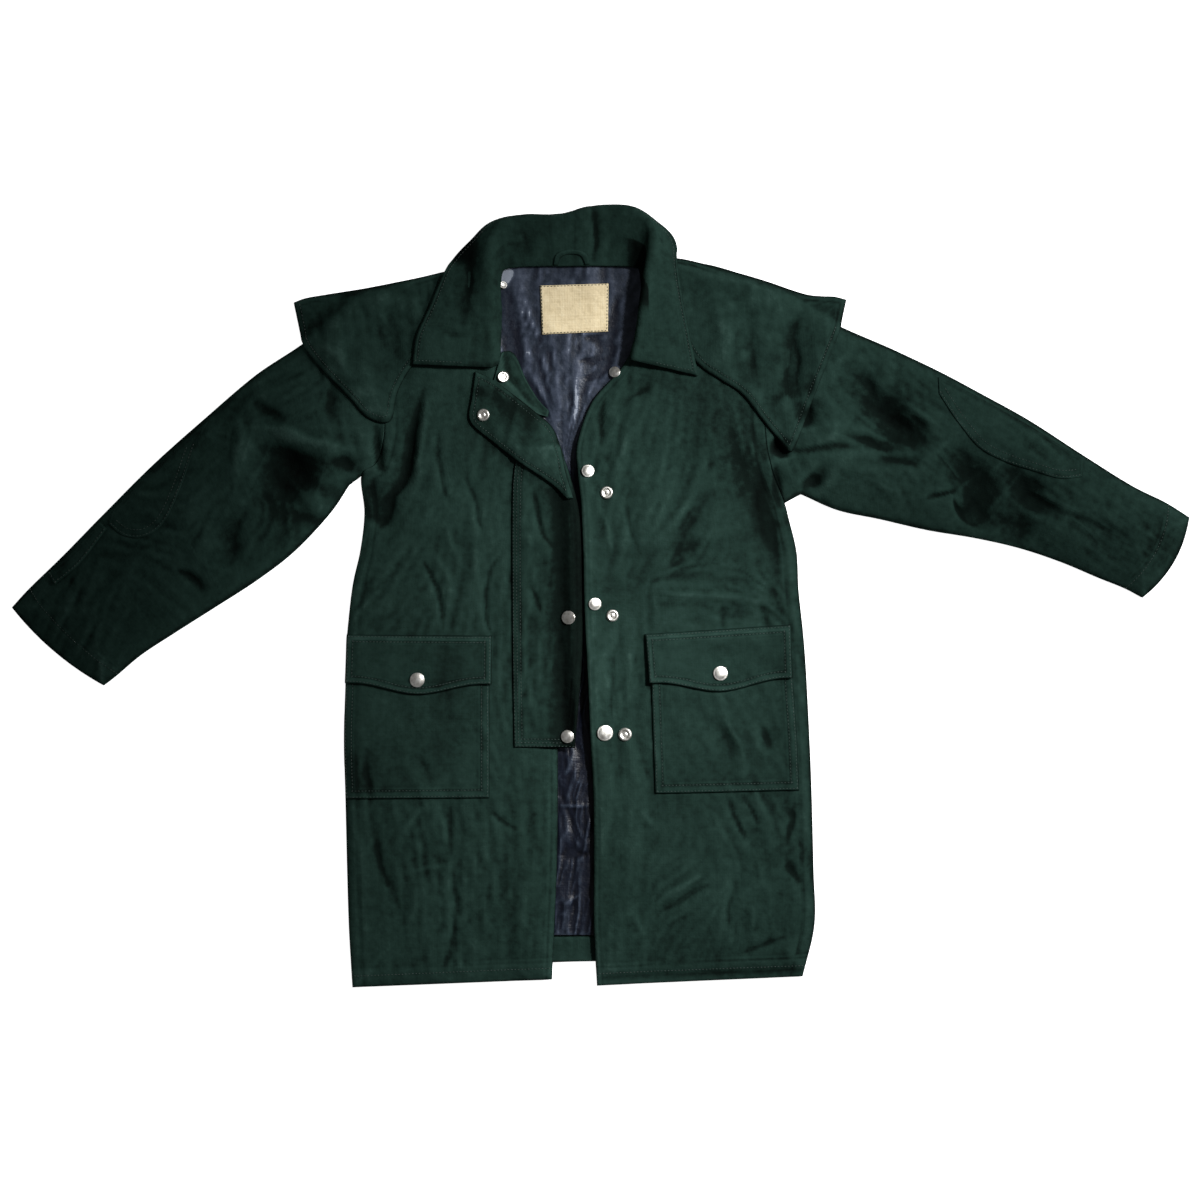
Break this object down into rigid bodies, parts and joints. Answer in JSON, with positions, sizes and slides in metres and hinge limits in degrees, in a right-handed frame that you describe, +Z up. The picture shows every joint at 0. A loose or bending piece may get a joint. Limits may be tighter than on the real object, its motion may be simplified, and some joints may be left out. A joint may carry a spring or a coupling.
{
  "type": "duster coat",
  "caption": "Short caped duster coat laid open on its back, with turned-down collar, storm flap, patch pockets with flaps, long sleeves and press studs.",
  "frame": {"origin": "on the surface the coat lies on, under the middle of its bounding box", "axes": "+Z up from the surface towards the coat's open front, +Y towards the collar, +X towards the wearer's left sleeve"},
  "size_m": [1.1798, 0.7812, 0.0311],
  "materials": {
    "outer_cloth": "bottle green waxed cotton",
    "lining": "blue-grey satin lining",
    "label": "cream woven label, bare",
    "nickel": "nickel plated"
  },
  "bodies": {
    "root": {"back_panel": "outer_cloth", "cape_back": "outer_cloth", "cape_right": "outer_cloth", "cape_left": "outer_cloth", "front_right": "outer_cloth", "front_left": "outer_cloth", "sleeve_right": "outer_cloth", "sleeve_left": "outer_cloth", "elbow_patch_right": "outer_cloth", "elbow_patch_left": "outer_cloth", "cuff_tab": "outer_cloth", "collar": "outer_cloth", "hanger_loop": "outer_cloth", "hem_facing": "outer_cloth", "storm_flap": "outer_cloth", "lapel": "outer_cloth", "neck_corner": "outer_cloth", "pocket_right": "outer_cloth", "pocket_left": "outer_cloth", "pocket_flap_right": "outer_cloth", "pocket_flap_left": "outer_cloth", "back_lining": "lining", "label": "label", "snap_pocket_right": "nickel", "snap_pocket_left": "nickel", "snap_front_low_cap": "nickel", "snap_front_mid_cap": "nickel", "snap_front_top_cap": "nickel", "snap_neck_cap": "nickel", "snap_storm_mid_cap": "nickel", "snap_storm_low_cap": "nickel", "snap_front_low_ring": "nickel", "snap_front_mid_ring": "nickel", "snap_front_top_ring": "nickel", "snap_lapel_ring": "nickel", "snap_corner_ring": "nickel", "snap_neck_stud": "nickel"}
  },
  "joints": []
}
